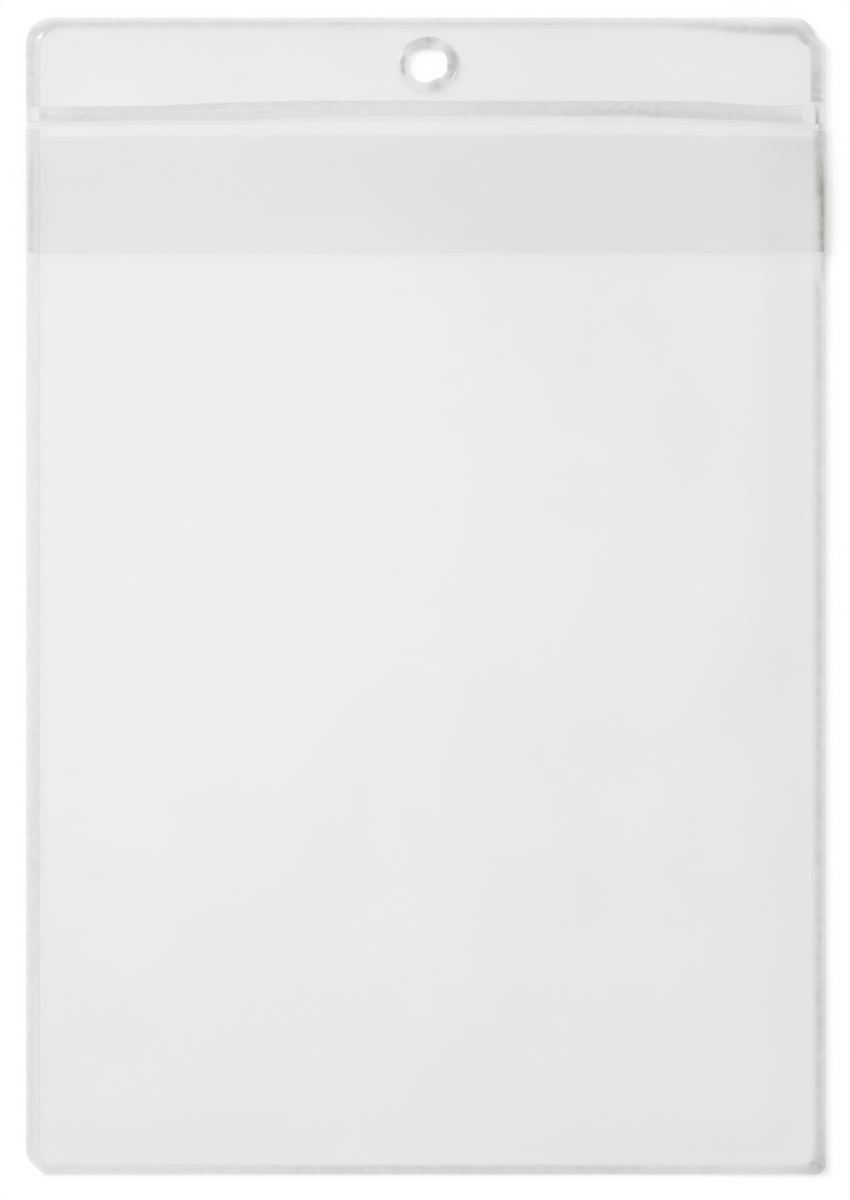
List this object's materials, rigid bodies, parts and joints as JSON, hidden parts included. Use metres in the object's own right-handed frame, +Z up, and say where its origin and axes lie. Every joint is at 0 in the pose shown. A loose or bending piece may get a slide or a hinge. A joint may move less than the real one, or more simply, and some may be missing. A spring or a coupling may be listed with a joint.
{
  "type": "clear document pocket",
  "caption": "Clear flexible film pocket for an A4 sheet, with welded seams, a hang hole in its header and a hinged flap over its mouth.",
  "frame": {"origin": "centre of the outline, on the surface that the pocket lies on", "axes": "+X across the pocket to its right, +Y up the page towards the header and hang hole, +Z up through the front film and flap"},
  "size_m": [0.231, 0.334, 0.0017],
  "materials": {
    "clear_film": "smooth clear soft vinyl film",
    "weld_seam": "clear fused film, pressed land with rounded ridges"
  },
  "bodies": {
    "pocket": {"back_sheet": "clear_film", "front_sheet": "clear_film", "header_facing": "clear_film", "pocket_seam": "weld_seam", "header_seam": "weld_seam", "crease_seam": "weld_seam", "hole_ring": "weld_seam"},
    "flap": {"flap": "clear_film"}
  },
  "joints": [
    {"name": "flap_fold", "type": "hinge", "parent": "pocket", "child": "flap", "pos_m": [0, 0.1381, 0.0012], "axis": [-1, 0, 0], "range_deg": [0, 175]}
  ]
}
